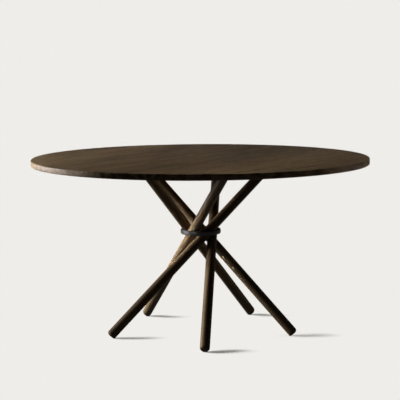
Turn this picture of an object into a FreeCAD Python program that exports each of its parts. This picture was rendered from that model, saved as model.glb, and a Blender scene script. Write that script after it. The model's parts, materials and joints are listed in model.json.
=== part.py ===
# Round oak dining table: an edge-glued oak top on five leaning round legs.
# The legs cross like a sheaf, and a steel ring gathers them just above the waist of the sheaf.
# Millimetres, +Z up, origin on the floor under the middle of the top, boards running along X.
import FreeCAD, Part
import math
import os

Vector = FreeCAD.Vector

# Tabletop
TABLE_HEIGHT = 735.0
TOP_DIAMETER = 1400.0
TOP_THICKNESS = 24.0
TOP_ARRIS = 2.5
BOARD_COUNT = 12

# Loose tongues glued into the board joints, stopped short of the rim
TONGUE_WIDTH = 24.0
TONGUE_THICKNESS = 5.0
TONGUE_SETBACK = 60.0
TONGUE_CLEARANCE = 0.1

# Steel channels let into the underside across the boards, to keep the top flat
CHANNEL_WIDTH = 36.0
CHANNEL_HEIGHT = 10.0
CHANNEL_WALL = 2.5
CHANNEL_OUTSIDE_LEGS = 130.0
CHANNEL_RIM_INSET = 100.0
CHANNEL_SIDE_CLEARANCE = 0.5
CHANNEL_END_GAP = 4.0
CHANNEL_SLOT_TRAVEL = 6.0
CHANNEL_SCREW_COUNT = 4

# Leg sheaf: each leg's axis leans, and passes the table's axis at the waist
LEG_COUNT = 5
LEG_DIAMETER = 40.0
LEG_LEAN = 44.65
WAIST_RADIUS = 48.7
WAIST_HEIGHT = 410.0
FIRST_FOOT_AZIMUTH = 0.0

# Feet: square-cut ends with an eased arris, trimmed level and shod with felt
FOOT_ARRIS = 4.0
FOOT_TRIM = 5.0
PAD_THICKNESS = 2.0
PAD_CORNERS = 8

# Leg plates: a flat plate with a leaning round spigot that enters the leg's end
PLATE_LENGTH = 150.0
PLATE_WIDTH = 72.0
PLATE_THICKNESS = 5.0
PLATE_CORNER = 16.0
PLATE_HOLE_INSET = 15.0
SPIGOT_DIAMETER = 16.0
SPIGOT_LENGTH = 80.0
SPIGOT_CLEARANCE = 0.15

# Ring round the sheaf, with a bore that flares with the legs
RING_LEVEL = 426.0
RING_HEIGHT = 20.0
RING_WALL = 6.0
RING_ARRIS = 1.5
RING_CLEARANCE = 0.3

# Hexagon-headed screws, measured under the head, in the plates and the channels
PLATE_SCREW_DIAMETER = 6.0
PLATE_SCREW_LENGTH = 17.0
CHANNEL_SCREW_DIAMETER = 5.0
CHANNEL_SCREW_LENGTH = 11.0
HEAD_WIDTH_RATIO = 1.9
HEAD_HEIGHT_RATIO = 0.65

# Cross pins that lock the legs on their spigots, and set screws that hold the ring to the legs
PIN_DIAMETER = 6.0
PIN_DEPTH = 48.0
PIN_SINK = 5.0
SET_SCREW_DIAMETER = 6.0
SET_SCREW_SINK = 0.5
SET_SCREW_BITE = 9.0

# Every fastener's shank and hole is drawn with the same few flat sides
FASTENER_SIDES = 8
FASTENER_CLEARANCE = 0.1

# Places worked out from the sizes above
centre = Vector(0, 0, 0)
up = Vector(0, 0, 1)
top_radius = TOP_DIAMETER / 2
underside = TABLE_HEIGHT - TOP_THICKNESS
plate_bottom = underside - PLATE_THICKNESS
board_width = TOP_DIAMETER / BOARD_COUNT
board_edges = [index * board_width - top_radius for index in range(BOARD_COUNT + 1)]
leg_radius = LEG_DIAMETER / 2
leg_turn = 360.0 / LEG_COUNT
lean = math.radians(LEG_LEAN)

# The first leg's directions: outward at the waist, sideways along its lean, and along its axis
waist_azimuth = math.radians(FIRST_FOOT_AZIMUTH) + math.atan2(WAIST_HEIGHT * math.tan(lean), WAIST_RADIUS)
outward = Vector(math.cos(waist_azimuth), math.sin(waist_azimuth), 0)
sideways = up.cross(outward)
leg_axis = sideways * math.sin(lean) + up * math.cos(lean)


def axis_point(height):
    """Point of the first leg's axis at a height above the floor."""
    rise = (height - WAIST_HEIGHT) / math.cos(lean)
    return outward * WAIST_RADIUS + up * WAIST_HEIGHT + leg_axis * rise


def from_axis(point):
    """Distance of a point from the table's upright axis."""
    return math.hypot(point.x, point.y)


def outermost_point(height):
    """Point of the first leg's surface furthest from the table's axis at a height."""
    half_length = leg_radius / math.cos(lean)
    turns = [math.radians(step) for step in range(360)]
    middle = axis_point(height)
    points = [middle + outward * leg_radius * math.cos(turn) + sideways * half_length * math.sin(turn)
              for turn in turns]
    return max(points, key=from_axis)


def ring_bore(height):
    """Radius at which the ring's bore just clears the legs at a height."""
    return from_axis(outermost_point(height)) + RING_CLEARANCE


leg_top = axis_point(plate_bottom)
foot_end = axis_point(PAD_THICKNESS - FOOT_TRIM + leg_radius * math.sin(lean))
plate_screw_depth = PLATE_SCREW_LENGTH - PLATE_THICKNESS + FASTENER_CLEARANCE
tongue_level = underside + (max(CHANNEL_HEIGHT, plate_screw_depth) + TOP_THICKNESS) / 2
channel_offset = from_axis(leg_top) + CHANNEL_OUTSIDE_LEGS
channel_half_length = math.sqrt(top_radius**2 - channel_offset**2) - CHANNEL_RIM_INSET
screwed_boards = [edge + board_width / 2 for edge in board_edges
                  if abs(edge + board_width / 2) < channel_half_length - CHANNEL_WIDTH]
channel_screw_pitch = 2 * channel_half_length / CHANNEL_SCREW_COUNT
channel_screw_spots = [(step + 0.5) * channel_screw_pitch - channel_half_length
                       for step in range(CHANNEL_SCREW_COUNT)]
channel_screw_rows = sorted({min(screwed_boards, key=lambda middle: abs(middle - spot))
                             for spot in channel_screw_spots})
ring_bottom = RING_LEVEL - RING_HEIGHT / 2
ring_top = RING_LEVEL + RING_HEIGHT / 2
ring_radius = max(ring_bore(ring_bottom), ring_bore(ring_top)) + RING_WALL


def aimed(shape, point, direction):
    """Copy of a shape modelled up from the origin, moved to a point and aimed along a direction."""
    copy = shape.copy()
    copy.Placement = FreeCAD.Placement(point, FreeCAD.Rotation(up, direction))
    return copy


def round_the_legs(shapes):
    """The first leg's shapes repeated round the table's axis, leg by leg."""
    return [shape.rotated(centre, up, leg_turn * index) for index in range(LEG_COUNT) for shape in shapes]


def prism(sides, diameter, start, end):
    """Upright prism on a regular polygon, between two heights."""
    turns = [2 * math.pi * side / sides for side in range(sides)]
    corners = [Vector(math.cos(turn), math.sin(turn), 0) * (diameter / 2) + up * start for turn in turns]
    outline = Part.makePolygon(corners + corners[:1])
    return Part.Face(outline).extrude(up * (end - start))


def hex_screw(diameter, length):
    """Hexagon-headed screw driven upward, with its head's seat at the origin."""
    head = prism(6, diameter * HEAD_WIDTH_RATIO, -diameter * HEAD_HEIGHT_RATIO, 0)
    return head.fuse(prism(FASTENER_SIDES, diameter, 0, length))


def fastener_hole(diameter, length, lead):
    """Cutter for a fastener's hole up from the origin, drawn out by a lead below it."""
    wide = diameter + 2 * FASTENER_CLEARANCE
    return prism(FASTENER_SIDES, wide, -lead, length + FASTENER_CLEARANCE)


def eased(shape, size, edges):
    """Shape with a narrow bevel along some of its edges."""
    return shape.makeChamfer(size, edges)


def eased_disc(radius, height, bottom, arris):
    """Upright disc with both of its rims eased."""
    disc = Part.makeCylinder(radius, height, up * bottom)
    return eased(disc, arris, [edge for edge in disc.Edges if len(edge.Vertexes) == 1])


# Screw seats of the first leg: under its plate, across its spigot, and through the ring
plate_along = PLATE_LENGTH / 2 - PLATE_HOLE_INSET
plate_across = PLATE_WIDTH / 2 - PLATE_HOLE_INSET
plate_screw_points = [leg_top + sideways * along + outward * across
                      for along in (-plate_along, plate_along) for across in (-plate_across, plate_across)]
plate_screw_hole = fastener_hole(PLATE_SCREW_DIAMETER, PLATE_SCREW_LENGTH, PLATE_THICKNESS)
plate_screw_holes = [plate_screw_hole.translated(point) for point in plate_screw_points]
pin_reach = leg_radius - PIN_SINK
pin_point = leg_top - leg_axis * PIN_DEPTH - outward * pin_reach
pin_hole = aimed(fastener_hole(PIN_DIAMETER, 2 * pin_reach, leg_radius), pin_point, outward)
ring_contact = outermost_point(RING_LEVEL)
ring_outward = Vector(ring_contact.x, ring_contact.y, 0).normalize()
set_screw_point = ring_outward * (ring_radius - SET_SCREW_SINK) + up * RING_LEVEL
set_screw_length = ring_radius - SET_SCREW_SINK - from_axis(ring_contact) + SET_SCREW_BITE
set_screw_hole = aimed(fastener_hole(SET_SCREW_DIAMETER, set_screw_length, RING_WALL),
                       set_screw_point, -ring_outward)
channel_screw_points = [Vector(side * channel_offset, row, underside + CHANNEL_HEIGHT - CHANNEL_WALL)
                        for side in (-1, 1) for row in channel_screw_rows]


def make_leg_plate():
    """Steel plate under the top, with the spigot that fills the leg's axial hole."""
    corner = Vector(-PLATE_LENGTH / 2, -PLATE_WIDTH / 2, 0)
    plate = Part.makeBox(PLATE_LENGTH, PLATE_WIDTH, PLATE_THICKNESS, corner)
    upright = [edge for edge in plate.Edges if edge.BoundBox.ZLength > PLATE_THICKNESS / 2]
    plate = eased(plate, PLATE_CORNER, upright)
    plate.Placement = FreeCAD.Placement(leg_top, FreeCAD.Rotation(Vector(1, 0, 0), sideways))
    spigot = Part.makeCylinder(SPIGOT_DIAMETER / 2, SPIGOT_LENGTH + SPIGOT_DIAMETER,
                               leg_top + leg_axis * SPIGOT_DIAMETER, -leg_axis)
    above = Part.makeBox(PLATE_LENGTH, PLATE_LENGTH, PLATE_LENGTH,
                         leg_top + Vector(-PLATE_LENGTH / 2, -PLATE_LENGTH / 2, PLATE_THICKNESS))
    plate = plate.fuse(spigot.cut(above)).removeSplitter()
    return plate.cut(plate_screw_holes + [pin_hole])


def make_leg():
    """Round leg with a level top, a square-cut foot trimmed level, and holes for its fasteners."""
    length = (plate_bottom - foot_end.z) / math.cos(lean) + LEG_DIAMETER
    leg = Part.makeCylinder(leg_radius, length, foot_end, leg_axis)
    leg = eased(leg, FOOT_ARRIS, [min(leg.Edges, key=lambda edge: edge.BoundBox.Center.z)])
    between_floor_and_plate = Part.makeBox(TOP_DIAMETER, TOP_DIAMETER, plate_bottom - PAD_THICKNESS,
                                           Vector(-top_radius, -top_radius, PAD_THICKNESS))
    spigot_hole = Part.makeCylinder(SPIGOT_DIAMETER / 2 + SPIGOT_CLEARANCE,
                                    SPIGOT_LENGTH + SPIGOT_DIAMETER + SPIGOT_CLEARANCE,
                                    leg_top + leg_axis * SPIGOT_DIAMETER, -leg_axis)
    return leg.common(between_floor_and_plate).cut([spigot_hole, pin_hole, set_screw_hole])


def make_foot_pad(leg):
    """Felt pad cut to the level flat under a leg's foot, its curved side in short straight cuts."""
    flat = min(leg.Faces, key=lambda face: face.CenterOfMass.z)
    corners = flat.OuterWire.discretize(Number=PAD_CORNERS + 1)[:PAD_CORNERS]
    outline = Part.makePolygon(corners + corners[:1])
    return Part.Face(outline).extrude(-up * PAD_THICKNESS)


def make_ring():
    """Steel ring with eased rims, a flaring bore and a set screw's hole at each leg."""
    body = eased_disc(ring_radius, RING_HEIGHT, ring_bottom, RING_ARRIS)
    bore = Part.makeCone(ring_bore(ring_bottom), ring_bore(ring_top), RING_HEIGHT, up * ring_bottom)
    return body.cut([bore] + round_the_legs([set_screw_hole]))


def make_channel(side):
    """Steel channel on one side of the legs, open downward, with a slot for each screw."""
    length = 2 * channel_half_length
    corner = Vector(side * channel_offset - CHANNEL_WIDTH / 2, -channel_half_length, underside)
    body = Part.makeBox(CHANNEL_WIDTH, length, CHANNEL_HEIGHT, corner)
    trough = Part.makeBox(CHANNEL_WIDTH - 2 * CHANNEL_WALL, length, CHANNEL_HEIGHT - CHANNEL_WALL,
                          corner + Vector(CHANNEL_WALL, 0, 0))
    slot_width = CHANNEL_SCREW_DIAMETER + 2 * FASTENER_CLEARANCE
    slot_length = slot_width + CHANNEL_SLOT_TRAVEL
    slots = [Part.makeBox(slot_width, slot_length, CHANNEL_WALL,
                          point - Vector(slot_width / 2, slot_length / 2, 0))
             for point in channel_screw_points if point.x * side > 0]
    return body.cut([trough] + slots)


def make_pocket(side):
    """Cutter for the round-ended pocket that a channel is let into."""
    width = CHANNEL_WIDTH + 2 * CHANNEL_SIDE_CLEARANCE
    reach = channel_half_length + CHANNEL_END_GAP
    middle = Vector(side * channel_offset, 0, underside)
    bar = Part.makeBox(width, 2 * reach, CHANNEL_HEIGHT, middle - Vector(width / 2, reach, 0))
    ends = [Part.makeCylinder(width / 2, CHANNEL_HEIGHT, middle + Vector(0, end, 0)) for end in (-reach, reach)]
    return bar.fuse(ends).removeSplitter()


def make_tongue(edge, clearance):
    """Loose tongue in the joint at a board's edge, or, with a clearance, the cutter for its grooves."""
    half_length = math.sqrt(top_radius**2 - edge**2) - TONGUE_SETBACK + clearance
    width = TONGUE_WIDTH + 2 * clearance
    thickness = TONGUE_THICKNESS + 2 * clearance
    corner = Vector(-half_length, edge - width / 2, tongue_level - thickness / 2)
    return Part.makeBox(2 * half_length, width, thickness, corner)


def make_boards():
    """The round top, routed and drilled from below, parted into its boards."""
    disc = eased_disc(top_radius, TOP_THICKNESS, underside, TOP_ARRIS)
    pilot = fastener_hole(CHANNEL_SCREW_DIAMETER, CHANNEL_SCREW_LENGTH, 0)
    pilots = [pilot.translated(point) for point in channel_screw_points] + round_the_legs(plate_screw_holes)
    grooves = [make_tongue(edge, TONGUE_CLEARANCE) for edge in board_edges[1:-1]]
    disc = disc.cut([make_pocket(-1), make_pocket(1)] + pilots + grooves)
    cuts = [-TOP_DIAMETER] + board_edges[1:-1] + [TOP_DIAMETER]
    blanks = [Part.makeBox(2 * TOP_DIAMETER, high - low, 2 * TABLE_HEIGHT, Vector(-TOP_DIAMETER, low, 0))
              for low, high in zip(cuts, cuts[1:])]
    return [disc.common(blank) for blank in blanks]


def save(name, shapes):
    """Write one named piece, or a group of like pieces as separate solids."""
    solids = [solid for shape in shapes for solid in shape.Solids]
    whole = solids[0] if len(solids) == 1 else Part.makeCompound(solids)
    whole.exportStep(os.path.join("parts", name + ".step"))


def save_each(name, shapes):
    """Write a row of pieces, numbered from one."""
    for number, shape in enumerate(shapes, 1):
        save(f"{name}_{number}", [shape])


os.makedirs("parts", exist_ok=True)
first_leg = make_leg()
plate_screw = hex_screw(PLATE_SCREW_DIAMETER, PLATE_SCREW_LENGTH)
channel_screw = hex_screw(CHANNEL_SCREW_DIAMETER, CHANNEL_SCREW_LENGTH)
pin = prism(FASTENER_SIDES, PIN_DIAMETER, 0, 2 * pin_reach)
set_screw = prism(FASTENER_SIDES, SET_SCREW_DIAMETER, 0, set_screw_length)

save_each("top_board", make_boards())
save("board_tongues", [make_tongue(edge, 0.0) for edge in board_edges[1:-1]])
save_each("stiffener_channel", [make_channel(-1), make_channel(1)])
save("channel_screws", [channel_screw.translated(point) for point in channel_screw_points])
save_each("leg", round_the_legs([first_leg]))
save_each("foot_pad", round_the_legs([make_foot_pad(first_leg)]))
save_each("leg_plate", round_the_legs([make_leg_plate()]))
save("plate_screws", round_the_legs([plate_screw.translated(point) for point in plate_screw_points]))
save("spigot_pins", round_the_legs([aimed(pin, pin_point, outward)]))
save("waist_ring", [make_ring()])
save("ring_set_screws", round_the_legs([aimed(set_screw, set_screw_point, -ring_outward)]))
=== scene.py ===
import json
import math

import bmesh
import bpy
from bpy.props import FloatProperty, FloatVectorProperty, PointerProperty
from mathutils import Matrix, Vector

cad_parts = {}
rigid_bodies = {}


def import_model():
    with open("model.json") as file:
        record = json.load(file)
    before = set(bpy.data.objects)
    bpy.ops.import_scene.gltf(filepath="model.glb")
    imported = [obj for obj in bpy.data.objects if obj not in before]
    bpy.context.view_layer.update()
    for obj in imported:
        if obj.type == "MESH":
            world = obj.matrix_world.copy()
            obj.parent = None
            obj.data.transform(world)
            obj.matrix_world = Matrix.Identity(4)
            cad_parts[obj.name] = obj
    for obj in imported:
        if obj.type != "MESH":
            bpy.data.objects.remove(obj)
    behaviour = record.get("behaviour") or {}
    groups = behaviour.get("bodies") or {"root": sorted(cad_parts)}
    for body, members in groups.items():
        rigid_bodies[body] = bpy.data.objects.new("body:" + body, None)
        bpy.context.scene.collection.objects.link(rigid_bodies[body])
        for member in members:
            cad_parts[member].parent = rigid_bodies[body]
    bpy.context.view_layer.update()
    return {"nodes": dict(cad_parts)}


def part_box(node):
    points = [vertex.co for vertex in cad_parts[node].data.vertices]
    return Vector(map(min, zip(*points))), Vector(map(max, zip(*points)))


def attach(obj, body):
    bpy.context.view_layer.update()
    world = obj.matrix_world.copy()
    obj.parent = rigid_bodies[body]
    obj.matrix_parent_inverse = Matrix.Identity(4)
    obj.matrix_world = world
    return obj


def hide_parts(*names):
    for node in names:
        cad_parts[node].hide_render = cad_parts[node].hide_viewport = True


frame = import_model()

bl_info = {
    "name": "Round oak table with crossed legs",
    "version": (1, 0, 0),
    "blender": (4, 5, 0),
    "location": "View3D > Sidebar > Oak table",
    "description": "Dresses a round oak table: boards, round legs, steel ring and the hardware under the top",
    "category": "Object",
}

BODY = "root"
UP = Vector((0, 0, 1))
MM = 0.001
HAIR = 0.01 * MM                    # less than any real gap, for telling whether two places are one
SHARP_FOLD = math.radians(35)       # a fold sharper than this stays an edge in the shading
PLATE_THICKNESS = 5 * MM
SCREW_SIDES = 32
RING_SIDES = 160


def numbered(prefix):
    """Names of the frame's nodes that start with a prefix, in the order of their numbers."""
    found = [name for name in frame["nodes"]
             if name.startswith(prefix) and name.removeprefix(prefix).isdigit()]
    return sorted(found, key=lambda name: int(name.removeprefix(prefix)))


def linear(code):
    """Linear red, green, blue and alpha of an sRGB hex colour."""
    parts = [int(code[place:place + 2], 16) / 255 for place in (1, 3, 5)]
    return [part / 12.92 if part <= 0.04045 else ((part + 0.055) / 1.055) ** 2.4 for part in parts] + [1.0]


# Places read from the frame
BOARD_NODES = numbered("top_board_")
LEG_NODES = numbered("leg_")
BOARD_BOXES = [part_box(name) for name in BOARD_NODES]
TOP_RADIUS = max(high.x for low, high in BOARD_BOXES)
UNDERSIDE = min(low.z for low, high in BOARD_BOXES)
TOP_LEVEL = max(high.z for low, high in BOARD_BOXES)
BOARD_WIDTH = 2 * TOP_RADIUS / len(BOARD_NODES)
PLATE_BOTTOM = UNDERSIDE - PLATE_THICKNESS
RING_LOW, RING_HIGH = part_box("waist_ring")
PAD_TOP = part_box("foot_pad_1")[1].z


def length(name, description, default):
    """A length that a user may change, in metres."""
    return FloatProperty(name=name, description=description, default=default, precision=4, unit="LENGTH")


def colour(name, description, code):
    """A colour that a user may change, given as an sRGB hex value."""
    return FloatVectorProperty(name=name, description=description, default=linear(code), size=4,
                               subtype="COLOR")


class OakTableSizes(bpy.types.PropertyGroup):
    """Sizes of the pieces that are modelled here."""

    rim_rounding: length("Rim rounding", "Radius of the top's softened arris", 3 * MM)
    leg_diameter: length("Leg diameter", "Thickness of every round leg", 40 * MM)
    leg_lean: FloatProperty(name="Leg lean", description="Angle of each leg from upright",
                            default=math.radians(44.65), subtype="ANGLE")
    waist_radius: length("Waist radius", "Distance of the leg axes from the table's axis at the waist",
                         48.7 * MM)
    waist_height: length("Waist height", "Height of the waist above the floor", 410 * MM)
    foot_rounding: length("Foot rounding", "Radius of the softened arris of a foot's cut end", 12.5 * MM)
    foot_crown: length("Foot crown", "How far the rounded end stands beyond the plain cut", 2.5 * MM)
    foot_trim: length("Foot trim", "Depth of the level flat cut under a foot", 5 * MM)
    ring_clearance: length("Ring clearance", "Gap between the ring's bore and the legs", 0.3 * MM)
    ring_rounding: length("Ring rounding", "Radius of the ring's rounded outer arris", 4.5 * MM)
    bore_rounding: length("Bore rounding", "Radius of the softened arris of the ring's bore", 0.8 * MM)
    set_screw: length("Set screw", "Diameter of the screws that hold the ring to the legs", 6 * MM)
    set_screw_grip: length("Set screw grip", "How far a set screw reaches into its leg", 9 * MM)
    hex_key: length("Hexagon key", "Width across the flats of a set screw's socket", 3 * MM)


class OakTableFinish(bpy.types.PropertyGroup):
    """Colours of the finishes."""

    oak_dark: colour("Oak, dark grain", "Smoked oak in its dark streaks", "#54422C")
    oak_light: colour("Oak, light grain", "Smoked oak between its dark streaks", "#8F7757")
    oak_pores: colour("Oak pores", "Oil that darkens the open pores", "#2E2114")
    blackened: colour("Blackened steel", "Steel ring, blackened and waxed", "#0E0D0E")
    powder_coat: colour("Powder coat", "Coating on the plates and channels", "#17171A")
    zinc: colour("Zinc plating", "Plating on the screws and pins", "#B4B7BA")
    beech: colour("Beech", "Bare beech of the tongues", "#B48D62")
    felt: colour("Felt", "Pressed wool felt under the feet", "#2B2724")
    backdrop: colour("Backdrop", "Floor and background", "#EFEDE9")


def sizes():
    return bpy.context.scene.oak_table_sizes


def finish():
    return bpy.context.scene.oak_table_finish


# Modelling helpers


def start_piece(name):
    """Name the primitive that was just added, and enter edit mode on it alone."""
    piece = bpy.context.active_object
    piece.name = name
    piece.data.name = name
    bpy.ops.object.mode_set(mode="EDIT")
    return piece


def pick(piece, kind, test):
    """Select the faces or edges of a piece in edit mode that pass a test."""
    mesh = bmesh.from_edit_mesh(piece.data)
    mesh.select_mode = {"FACE"} if kind == "faces" else {"EDGE"}
    bpy.ops.mesh.select_mode(type="FACE" if kind == "faces" else "EDGE")
    bpy.ops.mesh.select_all(action="DESELECT")
    for item in getattr(mesh, kind):
        item.select_set(test(item))
    mesh.select_flush_mode()
    bmesh.update_edit_mesh(piece.data)


def level_edges(height):
    """Test for edges that lie level at a height."""
    return lambda edge: all(abs(vert.co.z - height) < HAIR for vert in edge.verts)


def alone(piece):
    """Make a piece the only selected and active object."""
    bpy.ops.object.select_all(action="DESELECT")
    piece.select_set(True)
    bpy.context.view_layer.objects.active = piece


def copied(piece, name):
    """Copy of a piece with its own mesh, selected alone."""
    twin = piece.copy()
    twin.data = piece.data.copy()
    twin.name = name
    twin.data.name = name
    bpy.context.collection.objects.link(twin)
    alone(twin)
    return twin


def cut_by(piece, cutter):
    """Cut one closed shape out of a piece, and delete the cutter."""
    alone(piece)
    modifier = piece.modifiers.new("cut", "BOOLEAN")
    modifier.operation = "DIFFERENCE"
    modifier.solver = "EXACT"
    modifier.object = cutter
    bpy.ops.object.modifier_apply(modifier=modifier.name)
    bpy.data.objects.remove(cutter)


def joined(pieces, name):
    """Several pieces joined into one mesh."""
    bpy.ops.object.select_all(action="DESELECT")
    for piece in pieces:
        piece.select_set(True)
    bpy.context.view_layer.objects.active = pieces[0]
    bpy.ops.object.join()
    pieces[0].name = name
    pieces[0].data.name = name
    return pieces[0]


def slice_off(point, normal):
    """In edit mode, cut the whole piece by a plane, drop what lies on the normal's side and close the cut."""
    bpy.ops.mesh.select_all(action="SELECT")
    bpy.ops.mesh.bisect(plane_co=point, plane_no=normal, use_fill=True, clear_outer=True)


def finished(piece, material, replaced):
    """Smooth a piece, give it its material, and seat it on the body in place of its CAD nodes."""
    alone(piece)
    bpy.ops.object.shade_smooth_by_angle(angle=SHARP_FOLD)
    piece.data.materials.clear()
    piece.data.materials.append(material)
    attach(piece, BODY)
    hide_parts(*replaced)


def write_grain(piece, along, log_shift, log_slope, shade):
    """Store where each point lies in its log, how far each face is end grain, and the plank's tone with
    painted light and shade in it.
    """
    mesh = piece.data
    across = along.orthogonal().normalized() if abs(along.z) > 0.5 else UP.cross(along)
    deep = along.cross(across)
    runs = [vert.co.dot(along) for vert in mesh.vertices]
    places = [Vector((run, vert.co.dot(across), vert.co.dot(deep) + run * log_slope)) + log_shift
              for run, vert in zip(runs, mesh.vertices)]
    # Each attribute is filled before the next is made, because a new one may move the others in memory
    grain = mesh.attributes.new("grain", "FLOAT_VECTOR", "POINT")
    grain.data.foreach_set("vector", [part for place in places for part in place])
    end = mesh.attributes.new("end_grain", "FLOAT", "FACE")
    end.data.foreach_set("value", [abs(face.normal.dot(along)) for face in mesh.polygons])
    tone_and_shading_layer = mesh.attributes.new("shade", "FLOAT", "FACE")
    tone_and_shading_layer.data.foreach_set("value", [shade] * len(mesh.polygons))


# Materials


def add_node(tree, kind, inputs, **settings):
    """Add a shader node; inputs maps each socket to a value, or to the output that feeds it."""
    node = tree.nodes.new("ShaderNode" + kind)
    for name, value in settings.items():
        setattr(node, name, value)
    for socket, value in inputs.items():
        if isinstance(value, bpy.types.NodeSocket):
            tree.links.new(value, node.inputs[socket])
        else:
            node.inputs[socket].default_value = value
    return node


def new_material(name, **surface):
    """Material with one Principled surface, whose sockets take the values given."""
    material = bpy.data.materials.new(name)
    material.use_nodes = True
    shader = material.node_tree.nodes["Principled BSDF"]
    for socket, value in surface.items():
        shader.inputs[socket.replace("_", " ")].default_value = value
    return material, material.node_tree, shader


def mixed(tree, share, first, second):
    """Colour between two colours, by a share."""
    return add_node(tree, "Mix", {"Factor": share, 6: first, 7: second}, data_type="RGBA").outputs[2]


def stretched(tree, place, run, size):
    """Place counted in lengths along the first axis and in widths across it."""
    counts = (1 / run, 1 / size, 1 / size)
    return add_node(tree, "VectorMath", {0: place, 1: counts}, operation="MULTIPLY").outputs[0]


def smoked_oak():
    """Oak fumed and oiled: brown to the core, with dark streaks along the grain and open pores.

    The streaks follow the growth rings, so they run as lines along a plank, arch where the log tapers,
    and turn to arcs on an end. The oil leaves the wood matt, a little glossier between the pores.
    """
    material, tree, shader = new_material("smoked_oak", IOR=1.45, Specular_IOR_Level=0.2)
    ring_group = 40 * MM      # years that grew alike, seen as one streak
    wander_run = 900 * MM     # length over which the grain drifts
    wander_size = 150 * MM
    drift = 22 * MM
    streak_run = 280 * MM     # a dark streak's length and width
    streak_size = 20 * MM
    streak_weight = 1.5       # streaks against growth rings
    tone_and_shading_weight = 0.5        # how far a plank's own tone and its painted light and shade move it between dark and light
    darkest = 0.98
    lightest = 1.52
    pore_run = 60 * MM        # pores are drawn about five times as coarse as in life, to show at all
    pore_size = 2.2 * MM
    pore_depth = 0.25 * MM
    pore_tint = 0.55
    end_tint = 0.35           # cut ends drink more oil, so they are darker
    place = add_node(tree, "Attribute", {}, attribute_name="grain").outputs["Vector"]
    end = add_node(tree, "Attribute", {}, attribute_name="end_grain").outputs["Fac"]
    # Each plank's own tone, with painted light and shade mixed into it
    shade = add_node(tree, "Attribute", {}, attribute_name="shade").outputs["Fac"]

    slow = stretched(tree, place, wander_run, wander_size)
    waves = add_node(tree, "TexNoise", {"Vector": slow, "Scale": 1.0, "Detail": 2.0})
    swing = add_node(tree, "VectorMath", {0: waves.outputs["Color"], 1: (0.5, 0.5, 0.5)},
                     operation="SUBTRACT")
    bent = add_node(tree, "VectorMath", {0: swing.outputs[0], 1: (0, 2 * drift, 2 * drift), 2: place},
                    operation="MULTIPLY_ADD").outputs[0]
    section = add_node(tree, "VectorMath", {0: bent, 1: (0, 1, 1)}, operation="MULTIPLY")
    radius = add_node(tree, "VectorMath", {0: section.outputs[0]}, operation="LENGTH")
    rings = add_node(tree, "TexNoise", {"W": radius.outputs["Value"], "Scale": 1 / ring_group, "Detail": 3.0,
                                        "Roughness": 0.62}, noise_dimensions="1D")
    fine = stretched(tree, bent, streak_run, streak_size)
    streaks = add_node(tree, "TexNoise", {"Vector": fine, "Scale": 1.0, "Detail": 3.0})
    thin = stretched(tree, bent, pore_run, pore_size)
    specks = add_node(tree, "TexNoise", {"Vector": thin, "Scale": 1.0, "Detail": 1.0})
    pores = add_node(tree, "MapRange", {"Value": specks.outputs["Fac"], "From Min": 0.56, "From Max": 0.70})

    blend = add_node(tree, "Math", {0: streaks.outputs["Fac"], 1: streak_weight, 2: rings.outputs["Fac"]},
                     operation="MULTIPLY_ADD")
    # The plank's tone and painted light and shade move its streaks towards dark or light
    toned_and_shaded = add_node(tree, "Math", {0: shade, 1: tone_and_shading_weight, 2: blend.outputs[0]}, operation="MULTIPLY_ADD")
    light = add_node(tree, "MapRange", {"Value": toned_and_shaded.outputs[0], "From Min": darkest, "From Max": lightest})
    wood = mixed(tree, light.outputs[0], finish().oak_dark, finish().oak_light)
    pore_share = add_node(tree, "Math", {0: pores.outputs[0], 1: pore_tint}, operation="MULTIPLY")
    oiled = mixed(tree, pore_share.outputs[0], wood, finish().oak_pores)
    end_share = add_node(tree, "MapRange", {"Value": end, "From Min": 0.3, "From Max": 1.0,
                                            "To Max": end_tint})
    ended = mixed(tree, end_share.outputs[0], oiled, finish().oak_pores)
    tree.links.new(ended, shader.inputs["Base Color"])
    gloss = add_node(tree, "MapRange", {"Value": pores.outputs[0], "To Min": 0.50, "To Max": 0.72})
    tree.links.new(gloss.outputs[0], shader.inputs["Roughness"])
    relief = add_node(tree, "Bump", {"Height": pores.outputs[0], "Strength": 0.25, "Distance": pore_depth},
                      invert=True)
    tree.links.new(relief.outputs[0], shader.inputs["Normal"])
    return material


def blackened_steel():
    """Turned steel, blackened and waxed: nearly black, with a satin sheen and faint turning lines.

    The black film hides the bare metal, so it shines like a dark lacquer.
    """
    material, tree, shader = new_material("blackened_steel")
    turning = 1.2 * MM        # pitch of the lines that the turning tool left
    line_run = 60 * MM
    line_depth = 0.05 * MM
    cloud = 18 * MM
    place = add_node(tree, "TexCoord", {}).outputs["Object"]
    lines = add_node(tree, "VectorMath", {0: place, 1: (1 / line_run, 1 / line_run, 1 / turning)},
                     operation="MULTIPLY")
    marks = add_node(tree, "TexNoise", {"Vector": lines.outputs[0], "Scale": 1.0, "Detail": 2.0})
    patina = add_node(tree, "TexNoise", {"Vector": place, "Scale": 1 / cloud, "Detail": 3.0})
    worn = add_node(tree, "MapRange", {"Value": patina.outputs["Fac"], "From Min": 0.35, "From Max": 0.7})
    tint = mixed(tree, worn.outputs[0], finish().blackened, linear("#19181B"))
    tree.links.new(tint, shader.inputs["Base Color"])
    gloss = add_node(tree, "MapRange", {"Value": patina.outputs["Fac"], "To Min": 0.20, "To Max": 0.32})
    tree.links.new(gloss.outputs[0], shader.inputs["Roughness"])
    relief = add_node(tree, "Bump", {"Height": marks.outputs["Fac"], "Strength": 0.15,
                                     "Distance": line_depth})
    tree.links.new(relief.outputs[0], shader.inputs["Normal"])
    return material


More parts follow.
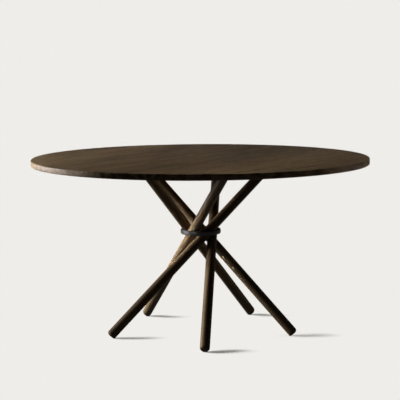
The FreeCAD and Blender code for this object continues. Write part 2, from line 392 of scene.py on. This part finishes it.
def powder_coat():
    """Polyester powder coat baked on steel: black, matt, with a fine even orange-peel grain."""
    material, tree, shader = new_material("powder_coat", Roughness=0.55)
    peel = 1.6 * MM
    peel_depth = 0.2 * MM
    place = add_node(tree, "TexCoord", {}).outputs["Object"]
    grain = add_node(tree, "TexNoise", {"Vector": place, "Scale": 1 / peel, "Detail": 2.0}).outputs["Fac"]
    tint = mixed(tree, grain, finish().powder_coat, linear("#232326"))
    tree.links.new(tint, shader.inputs["Base Color"])
    relief = add_node(tree, "Bump", {"Height": grain, "Strength": 0.3, "Distance": peel_depth})
    tree.links.new(relief.outputs[0], shader.inputs["Normal"])
    return material


def plated_steel(name, tint, worn_tint):
    """Plated or blackened fastener steel: bright or dark metal with a cloudy, slightly dull film."""
    material, tree, shader = new_material(name, Metallic=1.0)
    cloud = 4 * MM
    place = add_node(tree, "TexCoord", {}).outputs["Object"]
    film = add_node(tree, "TexNoise", {"Vector": place, "Scale": 1 / cloud, "Detail": 3.0}).outputs["Fac"]
    tree.links.new(mixed(tree, film, tint, worn_tint), shader.inputs["Base Color"])
    gloss = add_node(tree, "MapRange", {"Value": film, "To Min": 0.28, "To Max": 0.5})
    tree.links.new(gloss.outputs[0], shader.inputs["Roughness"])
    return material


def bare_beech():
    """Planed beech, unfinished: pale pinkish brown with short darker ray flecks along the grain."""
    material, tree, shader = new_material("bare_beech", Roughness=0.7)
    fleck_run = 12 * MM
    fleck_size = 1.5 * MM
    place = add_node(tree, "TexCoord", {}).outputs["Object"]
    along = stretched(tree, place, fleck_run, fleck_size)
    flecks = add_node(tree, "TexNoise", {"Vector": along, "Scale": 1.0, "Detail": 2.0})
    spots = add_node(tree, "MapRange", {"Value": flecks.outputs["Fac"], "From Min": 0.5, "From Max": 0.75})
    tint = mixed(tree, spots.outputs[0], finish().beech, linear("#8E6A45"))
    tree.links.new(tint, shader.inputs["Base Color"])
    return material


def pressed_felt():
    """Pressed wool felt: dark, without gloss, mottled by its matted fibres."""
    material, tree, shader = new_material("pressed_felt", Roughness=1.0, Sheen_Weight=0.4)
    fibre = 1.0 * MM
    fibre_depth = 0.4 * MM
    place = add_node(tree, "TexCoord", {}).outputs["Object"]
    fibres = add_node(tree, "TexNoise", {"Vector": place, "Scale": 1 / fibre, "Detail": 4.0}).outputs["Fac"]
    tint = mixed(tree, fibres, finish().felt, linear("#4A443F"))
    tree.links.new(tint, shader.inputs["Base Color"])
    relief = add_node(tree, "Bump", {"Height": fibres, "Strength": 0.6, "Distance": fibre_depth})
    tree.links.new(relief.outputs[0], shader.inputs["Normal"])
    return material


def shared(maker, *settings):
    """Material of a maker's name, made the first time that it is asked for."""
    name = settings[0] if settings else maker.__name__
    return bpy.data.materials.get(name) or maker(*settings)


# The leg sheaf


def first_leg_frame():
    """Place of the first leg: X outward at the waist, Z up along the leg, origin at the foot's cut end."""
    size = sizes()
    turn = math.atan2(size.waist_height * math.tan(size.leg_lean), size.waist_radius)
    outward = Vector((math.cos(turn), math.sin(turn), 0))
    sideways = UP.cross(outward)
    axis = sideways * math.sin(size.leg_lean) + UP * math.cos(size.leg_lean)
    foot_height = PAD_TOP - size.foot_trim + size.leg_diameter / 2 * math.sin(size.leg_lean)
    rise = (foot_height - size.waist_height) / math.cos(size.leg_lean)
    foot = outward * size.waist_radius + UP * size.waist_height + axis * rise
    place = Matrix((outward, axis.cross(outward), axis)).transposed().to_4x4()
    place.translation = foot
    return place


def leg_turn(index):
    """Turn about the table's axis that takes the first leg to another."""
    return Matrix.Rotation(2 * math.pi * index / len(LEG_NODES), 4, "Z")


def sheaf_edge(height):
    """Place of the first leg's surface that lies furthest from the table's axis at a height."""
    size = sizes()
    place = first_leg_frame()
    axis = place.col[2].xyz
    foot = place.translation
    middle = foot + axis * ((height - foot.z) / axis.z)
    outward = place.col[0].xyz
    sideways = UP.cross(outward)
    half_width = size.leg_diameter / 2
    half_length = half_width / math.cos(size.leg_lean)
    turns = [math.radians(degree) for degree in range(360)]
    edge = [middle + outward * half_width * math.cos(turn) + sideways * half_length * math.sin(turn)
            for turn in turns]
    return max(edge, key=lambda point: point.xy.length)


class OAKTABLE_OT_boards(bpy.types.Operator):
    """Saw the round top, with its softened rim and routed pockets, into oak boards"""

    bl_idname = "oak_table.boards"
    bl_label = "Oak boards"

    # Lighter and darker boards as they lie in the top, from -Y to +Y: partly each board's own tone and partly
    # painted light and shade, with the boards at the back of the view darker and those at its right lighter,
    # as the light falls there
    shades = (0.3, 0.3, 0.4, 0.2, 0.0, -0.3, -0.15, -0.05, -0.05, 0.1, 0.1, 0.1)

    def execute(self, context):
        disc = self.make_disc()
        for index, name in enumerate(BOARD_NODES):
            board = copied(disc, "oak_board_%d" % (index + 1))
            start = index * BOARD_WIDTH - TOP_RADIUS
            bpy.ops.object.mode_set(mode="EDIT")
            if index > 0:
                slice_off((0, start, 0), (0, -1, 0))
            if index < len(BOARD_NODES) - 1:
                slice_off((0, start + BOARD_WIDTH, 0), (0, 1, 0))
            bpy.ops.object.mode_set(mode="OBJECT")
            self.lay_grain(board, index, start + BOARD_WIDTH / 2)
            finished(board, shared(smoked_oak), [name])
        bpy.data.objects.remove(disc)
        return {"FINISHED"}

    def make_disc(self):
        """The whole round top with its rounded rim and the two pockets for the channels."""
        bpy.ops.object.select_all(action="DESELECT")
        thickness = TOP_LEVEL - UNDERSIDE
        bpy.ops.mesh.primitive_cylinder_add(vertices=288, radius=TOP_RADIUS, depth=thickness,
                                            location=(0, 0, UNDERSIDE + thickness / 2))
        bpy.ops.object.transform_apply()
        disc = start_piece("round_top")
        rims = [level_edges(UNDERSIDE), level_edges(TOP_LEVEL)]
        pick(disc, "edges", lambda edge: any(rim(edge) for rim in rims))
        bpy.ops.mesh.bevel(offset=sizes().rim_rounding, segments=4, profile=0.5, affect="EDGES")
        bpy.ops.object.mode_set(mode="OBJECT")
        for name in numbered("stiffener_channel_"):
            cut_by(disc, self.make_pocket(name))
        return disc

    def make_pocket(self, channel):
        """Round-ended cutter for the pocket that a channel is let into."""
        side_clearance = 0.5 * MM
        end_gap = 4 * MM
        round_share = 0.999     # of half the width, so that a sliver of flat end keeps the two arcs apart
        low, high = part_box(channel)
        width = high.x - low.x + 2 * side_clearance
        reach = high.y - low.y + 2 * end_gap + width
        depth = high.z - low.z
        bpy.ops.object.select_all(action="DESELECT")
        bpy.ops.mesh.primitive_cube_add(size=1, location=((low.x + high.x) / 2, 0, high.z - depth))
        pocket = bpy.context.active_object
        pocket.scale = (width, reach, 2 * depth)
        bpy.ops.object.transform_apply()
        start_piece("pocket")
        pick(pocket, "edges", lambda edge: abs(edge.verts[0].co.z - edge.verts[1].co.z) > depth)
        bpy.ops.mesh.bevel(offset=width / 2 * round_share, segments=12, profile=0.5, affect="EDGES")
        bpy.ops.object.mode_set(mode="OBJECT")
        return pocket

    def lay_grain(self, board, index, middle):
        """Give each board its own place in its own log, and its own tone with painted light and shade."""
        side_swing = 25 * MM      # how far the log's heart may lie to the side of a board
        heart_mean = 70 * MM      # and how deep under it
        heart_swing = 30 * MM
        stretch = 2.3             # metres of log from one board's place to the next one's
        steepest = 0.05           # slope of a board against its log
        # The turns inside the sines and cosines only spread the boards
        heart_side = side_swing * math.sin(2.4 * index)
        heart_depth = heart_mean + heart_swing * math.cos(1.7 * index)
        slope = steepest * math.sin(1.1 * index + 0.6)
        shift = Vector((stretch * index, heart_side - middle, heart_depth - TOP_LEVEL))
        write_grain(board, Vector((1, 0, 0)), shift, slope, self.shades[index % len(self.shades)])


class OAKTABLE_OT_legs(bpy.types.Operator):
    """Turn the round oak legs, cut them level at the top, round the feet, and stand them in the sheaf"""

    bl_idname = "oak_table.legs"
    bl_label = "Oak legs"

    # Lighter and darker legs, in the order of their numbers: partly each leg's own tone and partly painted
    # light and shade, the third and fourth legs darkened where the lamps light them strongly, the second
    # lightened near the waist
    shades = (0.3, 0.5, -0.3, -0.3, 0.3)

    def execute(self, context):
        stretch = 1.7           # metres of log from one leg's place to the next one's
        heart_gap = 70 * MM     # from the log's heart to the first leg, and the further step to each next one
        heart_step = 9 * MM
        side_swing = 25 * MM
        slope = 0.03
        blank = self.make_leg()
        for index, name in enumerate(LEG_NODES):
            leg = copied(blank, "oak_%s" % name)
            heart_side = side_swing * math.sin(2.1 * index)
            shift = Vector((stretch * index, heart_gap + heart_step * index, heart_side))
            write_grain(leg, UP, shift, slope, self.shades[index % len(self.shades)])
            leg.matrix_world = leg_turn(index) @ first_leg_frame()
            bpy.ops.object.transform_apply()
            finished(leg, shared(smoked_oak), [name])
        bpy.data.objects.remove(blank)
        return {"FINISHED"}

    def make_leg(self):
        """One leg, standing upright on its foot's cut end at the origin."""
        size = sizes()
        place = first_leg_frame()
        to_leg = place.inverted()
        tall = (PLATE_BOTTOM - place.translation.z) / math.cos(size.leg_lean) + size.leg_diameter
        bpy.ops.object.select_all(action="DESELECT")
        bpy.ops.mesh.primitive_cylinder_add(vertices=96, radius=size.leg_diameter / 2, depth=tall,
                                            location=(0, 0, tall / 2 - size.foot_crown))
        bpy.ops.object.transform_apply()
        leg = start_piece("leg_blank")
        pick(leg, "edges", level_edges(-size.foot_crown))
        bpy.ops.mesh.bevel(offset=size.foot_rounding, segments=8, profile=0.5, affect="EDGES")
        level = to_leg.to_3x3() @ UP
        slice_off(to_leg @ Vector((place.translation.x, place.translation.y, PAD_TOP)), -level)
        top = place.translation + place.col[2].xyz * ((PLATE_BOTTOM - place.translation.z) / place.col[2].z)
        slice_off(to_leg @ top, level)
        bpy.ops.object.mode_set(mode="OBJECT")
        return leg


class OAKTABLE_OT_ring(bpy.types.Operator):
    """Turn the steel ring with its flaring bore, and drill it for its set screws"""

    bl_idname = "oak_table.ring"
    bl_label = "Steel ring"

    # How far a drill runs past the metal, its clearance, and how far a screw lies under the rim
    overrun = 2 * MM
    drill_clearance = 0.1 * MM
    screw_sink = 0.5 * MM

    def execute(self, context):
        size = sizes()
        outside = RING_HIGH.x
        ends = (RING_LOW.z, RING_HIGH.z)
        bores = {height: sheaf_edge(height).xy.length + size.ring_clearance for height in ends}
        widest_bore = bores[RING_HIGH.z] + 0.1 * MM
        tall = RING_HIGH.z - RING_LOW.z
        bpy.ops.object.select_all(action="DESELECT")
        bpy.ops.mesh.primitive_cylinder_add(vertices=RING_SIDES, radius=outside, depth=tall,
                                            location=(0, 0, RING_LOW.z + tall / 2))
        bpy.ops.object.transform_apply()
        ring = start_piece("steel_ring")
        for height, bore in bores.items():
            pick(ring, "faces", lambda face: abs(face.calc_center_median().z - height) < HAIR)
            bpy.ops.mesh.inset(thickness=(outside - bore) * math.cos(math.pi / RING_SIDES))
            bpy.ops.mesh.delete(type="FACE")
        pick(ring, "edges", lambda edge: edge.is_boundary)
        bpy.ops.mesh.bridge_edge_loops()
        pick(ring, "edges", lambda edge: self.on_rim(edge) and edge.verts[0].co.xy.length > outside - 1 * MM)
        bpy.ops.mesh.bevel(offset=size.ring_rounding, segments=6, profile=0.5, affect="EDGES")
        pick(ring, "edges", lambda edge: self.on_rim(edge) and edge.verts[0].co.xy.length < widest_bore)
        bpy.ops.mesh.bevel(offset=size.bore_rounding, segments=2, profile=0.5, affect="EDGES")
        bpy.ops.mesh.select_all(action="SELECT")
        bpy.ops.mesh.normals_make_consistent(inside=False)
        bpy.ops.object.mode_set(mode="OBJECT")
        drill_radius = size.set_screw / 2 + self.drill_clearance
        for index in range(len(LEG_NODES)):
            drill = self.make_rod("drill", SCREW_SIDES, drill_radius, bores[RING_LOW.z] - self.overrun,
                                  outside + self.overrun, index)
            cut_by(ring, drill)
        finished(ring, shared(blackened_steel), ["waist_ring"])
        self.make_set_screws(outside - self.screw_sink)
        return {"FINISHED"}

    def on_rim(self, edge):
        """Whether an edge lies round the ring, in the plane of its upper or lower end."""
        level = any(level_edges(height)(edge) for height in (RING_LOW.z, RING_HIGH.z))
        return level and len({round(vert.co.xy.length, 4) for vert in edge.verts}) == 1

    def make_rod(self, name, sides, radius, inner, outer, index):
        """Level rod that points at the table's axis where the ring meets a leg."""
        level = (RING_LOW.z + RING_HIGH.z) / 2
        touch = sheaf_edge(level)
        bpy.ops.object.select_all(action="DESELECT")
        bpy.ops.mesh.primitive_cylinder_add(vertices=sides, radius=radius, depth=outer - inner,
                                            location=((inner + outer) / 2, 0, level),
                                            rotation=(0, math.pi / 2, 0))
        bpy.ops.object.transform_apply()
        rod = start_piece(name)
        bpy.ops.object.mode_set(mode="OBJECT")
        rod.matrix_world = leg_turn(index) @ Matrix.Rotation(math.atan2(touch.y, touch.x), 4, "Z")
        bpy.ops.object.transform_apply()
        return rod

    def make_set_screws(self, outer):
        """Set screws with a hexagon socket and a coned point, one for each leg."""
        size = sizes()
        cone = 1.5 * MM
        end_rounding = 0.4 * MM
        socket_depth = 3.5 * MM
        near = 1 * MM             # edges this near to an end of a screw belong to it
        inner = sheaf_edge((RING_LOW.z + RING_HIGH.z) / 2).xy.length - size.set_screw_grip
        socket_radius = size.hex_key / 2 / math.cos(math.pi / 6)
        screws = []
        for index in range(len(LEG_NODES)):
            screw = self.make_rod("screw", SCREW_SIDES, size.set_screw / 2, inner, outer, index)
            bpy.ops.object.mode_set(mode="EDIT")
            pick(screw, "edges", lambda edge: all(vert.co.xy.length < inner + near for vert in edge.verts))
            bpy.ops.mesh.bevel(offset=cone, segments=1, affect="EDGES")
            pick(screw, "edges", lambda edge: all(vert.co.xy.length > outer - near for vert in edge.verts))
            bpy.ops.mesh.bevel(offset=end_rounding, segments=2, profile=0.5, affect="EDGES")
            bpy.ops.object.mode_set(mode="OBJECT")
            key = self.make_rod("socket", 6, socket_radius, outer - socket_depth, outer + self.overrun, index)
            cut_by(screw, key)
            screws.append(screw)
        black = shared(plated_steel, "black_oxide_steel", linear("#1C1C1E"), linear("#2A2A2C"))
        finished(joined(screws, "steel_set_screws"), black, ["ring_set_screws"])


class OAKTABLE_OT_hardware(bpy.types.Operator):
    """Finish the plates, channels, screws, pins, tongues and felt pads"""

    bl_idname = "oak_table.hardware"
    bl_label = "Hardware"

    def execute(self, context):
        zinc = shared(plated_steel, "zinc_plated_steel", finish().zinc, linear("#8C9094"))
        coat = shared(powder_coat)
        finishes = {name: coat for name in numbered("leg_plate_") + numbered("stiffener_channel_")}
        finishes.update({name: zinc for name in ("channel_screws", "plate_screws", "spigot_pins")})
        finishes["board_tongues"] = shared(bare_beech)
        for name, material in finishes.items():
            frame["nodes"][name].material_slots[0].material = material
        for name in numbered("foot_pad_"):
            self.make_pad(name)
        return {"FINISHED"}

    def make_pad(self, name):
        """Felt pad with pressed, rounded edges in the place of its plain solid."""
        pressed = 0.5 * MM
        pad = copied(frame["nodes"][name], "felt_%s" % name)
        pad.parent = None
        pad.hide_render = False
        for key in list(pad.keys()):
            del pad[key]
        bpy.ops.object.mode_set(mode="EDIT")
        bpy.ops.mesh.select_all(action="SELECT")
        bpy.ops.mesh.remove_doubles(threshold=HAIR)
        bpy.ops.mesh.dissolve_limited(angle_limit=math.radians(1))
        bpy.ops.mesh.customdata_custom_splitnormals_clear()
        pick(pad, "edges", lambda edge: edge.calc_face_angle(0) > math.radians(60))
        bpy.ops.mesh.bevel(offset=pressed, segments=2, profile=0.5, affect="EDGES")
        bpy.ops.object.mode_set(mode="OBJECT")
        finished(pad, shared(pressed_felt), [name])


class OAKTABLE_OT_stage(bpy.types.Operator):
    """Lay the pale floor, set the lamps, and place the camera"""

    bl_idname = "oak_table.stage"
    bl_label = "Stage"

    # The photograph's view, fitted to the table: bearing from the boards' run, then the camera's place
    bearing = math.radians(-55.43)
    distance = 5.4727
    height = 1.2226
    sideways = -0.018
    pitch = math.radians(6.945)
    roll = math.radians(-0.395)
    yaw = math.radians(0.167)
    focal_pixels = 1320.3
    image_pixels = 400
    sensor = 36.0

    floor_radius = 8.0
    lamp_distance = 5.0
    # Shares of the pale floor and backdrop that a mirror shows, and the even light from all round
    mirrored_floor = 0.2
    mirrored_backdrop = 0.03
    even_light = 0.015

    def execute(self, context):
        context.scene.view_settings.view_transform = "Standard"
        self.place_camera(context)
        floor = self.lay_floor()
        self.light_world(context)
        self.hang_lamps(floor)
        return {"FINISHED"}

    def place_camera(self, context):
        lens = bpy.data.cameras.new("photo_camera")
        lens.sensor_width = self.sensor
        lens.lens = self.focal_pixels / self.image_pixels * self.sensor
        camera = bpy.data.objects.new("photo_camera", lens)
        context.collection.objects.link(camera)
        turn = Matrix.Rotation(self.bearing, 4, "Z")
        aim = Matrix.Rotation(-self.yaw, 4, "Z") @ Matrix.Rotation(math.pi / 2 - self.pitch, 4, "X")
        place = Matrix.Translation((self.sideways, -self.distance, self.height))
        camera.matrix_world = turn @ place @ aim @ Matrix.Rotation(self.roll, 4, "Z")
        context.scene.camera = camera

    def hang_lamps(self, floor):
        """Lamps at the left and behind, weak ones at the right, and one for the shadows on the floor.

        The boards, the pieces below them and the floor have lamps of their own. Places are in metres in the
        view's own axes, right, away and up. Directions are in degrees behind the left side and above the
        floor.
        """
        floor_alone = self.light_group("floor_alone", [floor], "INCLUDE")
        table_alone = self.light_group("table_alone", [floor], "EXCLUDE")
        boards = [item for item in bpy.data.objects if item.name.startswith("oak_board")]
        boards_alone = self.light_group("boards_alone", boards, "INCLUDE")
        low_pieces = self.light_group("low_pieces", boards + [floor], "EXCLUDE")

        key = self.hang_sun("key_softbox", behind=30, above=20, strength=4.4, width=20)
        panel = self.hang_panel("near_panel", (-1.25, -0.1, 0.75), aim=0.45, watts=3.3, size=0.35)
        panel.data.spread = math.radians(120)
        skim = self.hang_sun("low_skim", behind=10, above=14, strength=2.2, width=24)
        strip = self.hang_sun("rim_strip", behind=32, above=-2, strength=3.05, width=6)
        strip.data.color = linear("#FFF6EE")[:3]
        bounce = self.hang_panel("right_bounce", (1.35, -0.2, 0.8), aim=0.7, watts=0.7, size=0.3)
        bounce.data.color = linear("#FFE9D2")[:3]
        fill = self.hang_sun("right_fill", behind=145, above=-8, strength=2.0, width=20)
        glint = self.hang_panel("ring_glint", (-1.8, 0.0, 0.2), aim=0.43, watts=14.0, size=0.5)
        glint.visible_diffuse = False
        waist = self.hang_panel("waist_panel", (-1.3, 0.1, 0.5), aim=0.45, watts=0.25, size=0.3)
        waist.data.spread = math.radians(12)
        shadows = self.hang_sun("floor_softbox", behind=6, above=22.5, strength=8.2, width=20)
        for lamp in (key, panel, bounce, fill, waist):
            lamp.visible_glossy = False

        # The groups come last and in this order, because another order rendered the boards too dark
        for lamp in (strip, panel, bounce):
            lamp.light_linking.receiver_collection = boards_alone
        for lamp in (skim, glint, waist):
            lamp.light_linking.receiver_collection = low_pieces
        for lamp in (key, fill):
            lamp.light_linking.receiver_collection = table_alone
        shadows.light_linking.receiver_collection = floor_alone
        shadows.light_linking.blocker_collection = low_pieces

    def light_group(self, name, items, state):
        """Collection of what a lamp lights, or leaves out."""
        group = bpy.data.collections.new(name)
        for item in items:
            group.objects.link(item)
        for entry in group.collection_objects:
            entry.light_linking.link_state = state
        return group

    def hang_sun(self, name, behind, above, strength, width):
        """Far lamp at the left as the camera sees it, whose disc is so many degrees wide."""
        swing = math.radians(behind)
        rise = math.radians(above)
        away = Vector((-math.cos(swing) * math.cos(rise), math.sin(swing) * math.cos(rise), math.sin(rise)))
        lamp = self.hang_lamp(name, "SUN", away * self.lamp_distance, Vector((0, 0, 0)), strength)
        lamp.data.angle = math.radians(width)
        return lamp

    def hang_panel(self, name, place, aim, watts, size):
        """Square panel that points at the table's axis at a height."""
        lamp = self.hang_lamp(name, "AREA", Vector(place), Vector((0, 0, aim)), watts)
        lamp.data.size = size
        return lamp

    def hang_lamp(self, name, kind, place, aim, energy):
        """Lamp at a place in the view's axes, turned to a point, that the camera doesn't see."""
        lamp = bpy.data.lights.new(name, kind)
        lamp.energy = energy
        holder = bpy.data.objects.new(name, lamp)
        bpy.context.collection.objects.link(holder)
        turn = Matrix.Rotation(self.bearing, 4, "Z")
        holder.location = turn @ place
        holder.rotation_mode = "QUATERNION"
        holder.rotation_quaternion = (turn @ (place - aim)).to_track_quat("Z", "Y")
        holder.visible_camera = False
        return holder

    def lay_floor(self):
        """Matt paper floor in the backdrop's colour, darkened where the feet keep the light from it."""
        bpy.ops.object.select_all(action="DESELECT")
        bpy.ops.mesh.primitive_circle_add(vertices=128, radius=self.floor_radius, fill_type="NGON")
        floor = bpy.context.active_object
        floor.name = "floor"
        material = bpy.data.materials.new("paper_floor")
        material.use_nodes = True
        tree = material.node_tree
        tree.nodes.clear()
        shown = self.shown_share(tree, self.mirrored_floor)
        glow = add_node(tree, "Emission", {"Color": finish().backdrop, "Strength": 1.0})
        matt = add_node(tree, "BsdfDiffuse", {"Color": finish().backdrop})
        dim = add_node(tree, "BsdfDiffuse", {"Color": linear("#242424")})
        fade = self.near_feet(tree)
        paper = add_node(tree, "MixShader", {0: fade, 1: glow.outputs[0], 2: matt.outputs[0]})
        surface = add_node(tree, "MixShader", {0: shown, 1: dim.outputs[0], 2: paper.outputs[0]})
        add_node(tree, "OutputMaterial", {"Surface": surface.outputs[0]})
        floor.data.materials.append(material)
        return floor

    def near_feet(self, tree):
        """Share of the floor that takes shadows: much in a flat oval beside each foot, none further off."""
        beside = 75 * MM      # from a foot to the middle of its oval, to the camera's right
        inner = 40 * MM
        outer = 160 * MM
        narrow = 2.5          # an oval is so many times as long as it is deep
        depths = (0.65, 0.65, 0.65, 0.75, 0.5)     # how dark each foot's shadow may be
        place = add_node(tree, "TexCoord", {}).outputs["Object"]
        turned = add_node(tree, "VectorRotate", {"Vector": place, "Axis": UP, "Angle": -self.bearing})
        flat = add_node(tree, "VectorMath", {0: turned.outputs[0], 1: (1, narrow, 0)}, operation="MULTIPLY")
        fades = []
        for name, depth in zip(numbered("foot_pad_"), depths):
            low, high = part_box(name)
            middle = Matrix.Rotation(-self.bearing, 3, "Z") @ ((low + high) / 2)
            oval = (middle.x + beside, narrow * middle.y, 0)
            gap = add_node(tree, "VectorMath", {0: flat.outputs[0], 1: oval}, operation="DISTANCE")
            fade = add_node(tree, "MapRange", {"Value": gap.outputs["Value"], "From Min": inner,
                                               "From Max": outer, "To Min": depth, "To Max": 0.0},
                            interpolation_type="SMOOTHSTEP")
            fades.append(fade.outputs[0])
        most = fades[0]
        for fade in fades[1:]:
            most = add_node(tree, "Math", {0: most, 1: fade}, operation="MAXIMUM").outputs[0]
        return most

    def shown_share(self, tree, mirrored):
        """Share of the pale backdrop that a ray sees: all for the camera, some in a reflection, else none."""
        rays = add_node(tree, "LightPath", {}).outputs
        gloss = add_node(tree, "Math", {0: rays["Is Glossy Ray"], 1: mirrored}, operation="MULTIPLY")
        seen = add_node(tree, "Math", {0: rays["Is Camera Ray"], 1: gloss.outputs[0]}, operation="MAXIMUM")
        shown = add_node(tree, "Math", {0: seen.outputs[0], 1: rays["Is Transmission Ray"]},
                         operation="MAXIMUM")
        return shown.outputs[0]

    def light_world(self, context):
        """Backdrop's colour where it is seen, and a weak even light elsewhere."""
        world = bpy.data.worlds.new("backdrop")
        context.scene.world = world
        world.use_nodes = True
        tree = world.node_tree
        tree.nodes.clear()
        shown = self.shown_share(tree, self.mirrored_backdrop)
        weak = add_node(tree, "Background", {"Color": linear("#FFFFFF"), "Strength": self.even_light})
        pale = add_node(tree, "Background", {"Color": finish().backdrop, "Strength": 1.0})
        both = add_node(tree, "MixShader", {0: shown, 1: weak.outputs[0], 2: pale.outputs[0]})
        add_node(tree, "OutputWorld", {"Surface": both.outputs[0]})


class OAKTABLE_PT_panel(bpy.types.Panel):
    """Sizes, colours and steps of the oak table"""

    bl_label = "Oak table"
    bl_idname = "OAKTABLE_PT_panel"
    bl_space_type = "VIEW_3D"
    bl_region_type = "UI"
    bl_category = "Oak table"

    def draw(self, context):
        for group in (context.scene.oak_table_sizes, context.scene.oak_table_finish):
            box = self.layout.box()
            for name in group.__annotations__:
                box.prop(group, name)
        for step in STEPS:
            self.layout.operator(step.bl_idname)


STEPS = (OAKTABLE_OT_boards, OAKTABLE_OT_legs, OAKTABLE_OT_ring, OAKTABLE_OT_hardware, OAKTABLE_OT_stage)
CLASSES = (OakTableSizes, OakTableFinish) + STEPS + (OAKTABLE_PT_panel,)


def register():
    for item in CLASSES:
        bpy.utils.register_class(item)
    bpy.types.Scene.oak_table_sizes = PointerProperty(type=OakTableSizes)
    bpy.types.Scene.oak_table_finish = PointerProperty(type=OakTableFinish)


def unregister():
    del bpy.types.Scene.oak_table_finish
    del bpy.types.Scene.oak_table_sizes
    for item in reversed(CLASSES):
        bpy.utils.unregister_class(item)


def main():
    """Register the add-on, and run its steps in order."""
    register()
    bpy.ops.oak_table.boards()
    bpy.ops.oak_table.legs()
    bpy.ops.oak_table.ring()
    bpy.ops.oak_table.hardware()
    bpy.ops.oak_table.stage()


if __name__ == "__main__":
    main()
